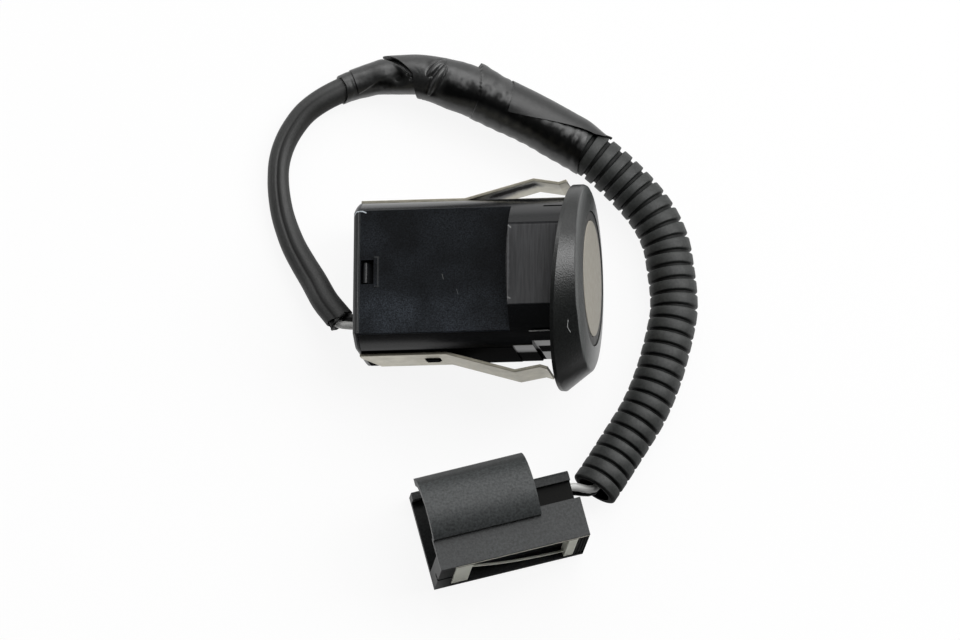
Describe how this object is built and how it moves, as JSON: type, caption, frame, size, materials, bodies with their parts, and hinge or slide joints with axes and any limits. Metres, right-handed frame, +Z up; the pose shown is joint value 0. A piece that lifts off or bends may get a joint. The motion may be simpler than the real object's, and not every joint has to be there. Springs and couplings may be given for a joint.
{
  "type": "parking sensor",
  "caption": "Ultrasonic parking sensor with a flared bezel, a round sensing face, spring clips and a short lead in a corrugated conduit to its connector.",
  "frame": {"origin": "on the table under the middle of the sensor's own box, without its lead", "axes": "+Z up from the table, +X the way the sensing face looks, with the nose tilted up as the sensor lies on its rim and its rear edge"},
  "size_m": [0.0579, 0.0731, 0.0269],
  "materials": {
    "housing_plastic": "moulded black plastic, fine matte",
    "bezel_plastic": "spark-textured black plastic",
    "face_paint": "taupe-grey satin paint on aluminium",
    "soft_ring": "dark silicone",
    "ceramic": "fired ceramic",
    "ferrite": "sintered ferrite",
    "base_plastic": "natural plastic",
    "copper": "bright copper alloy",
    "board": "green solder mask",
    "capacitor_case": "red-brown moulded case",
    "spring_steel": "bare rolled spring steel",
    "wire_grey": "light grey insulation",
    "wire_black": "black insulation",
    "sleeve_plastic": "soft black tube",
    "tape": "wrinkled dark tape",
    "conduit_plastic": "corrugated black plastic",
    "connector_plastic": "moulded black plastic",
    "retainer_plastic": "light grey plastic"
  },
  "bodies": {
    "root": {"housing": "housing_plastic", "rear_cap": "housing_plastic", "bezel_ring": "bezel_plastic", "transducer_cup": "face_paint", "decoupling_ring": "soft_ring", "damping_pad": "soft_ring", "sealing_compound": "soft_ring", "lead_grommet": "soft_ring", "piezo_disc": "ceramic", "chip_resistors": "ceramic", "coil_core": "ferrite", "transducer_base": "base_plastic", "transducer_leads": "copper", "coil_winding": "copper", "connector_contacts": "copper", "circuit_board": "board", "capacitor": "capacitor_case", "spring_clip_left": "spring_steel", "spring_clip_right": "spring_steel", "lead_wire_grey": "wire_grey", "lead_wire_black": "wire_black", "lead_sleeve": "sleeve_plastic", "joint_tape": "tape", "harness_tape": "tape", "conduit": "conduit_plastic", "connector_housing": "connector_plastic", "terminal_retainer": "retainer_plastic"}
  },
  "joints": []
}
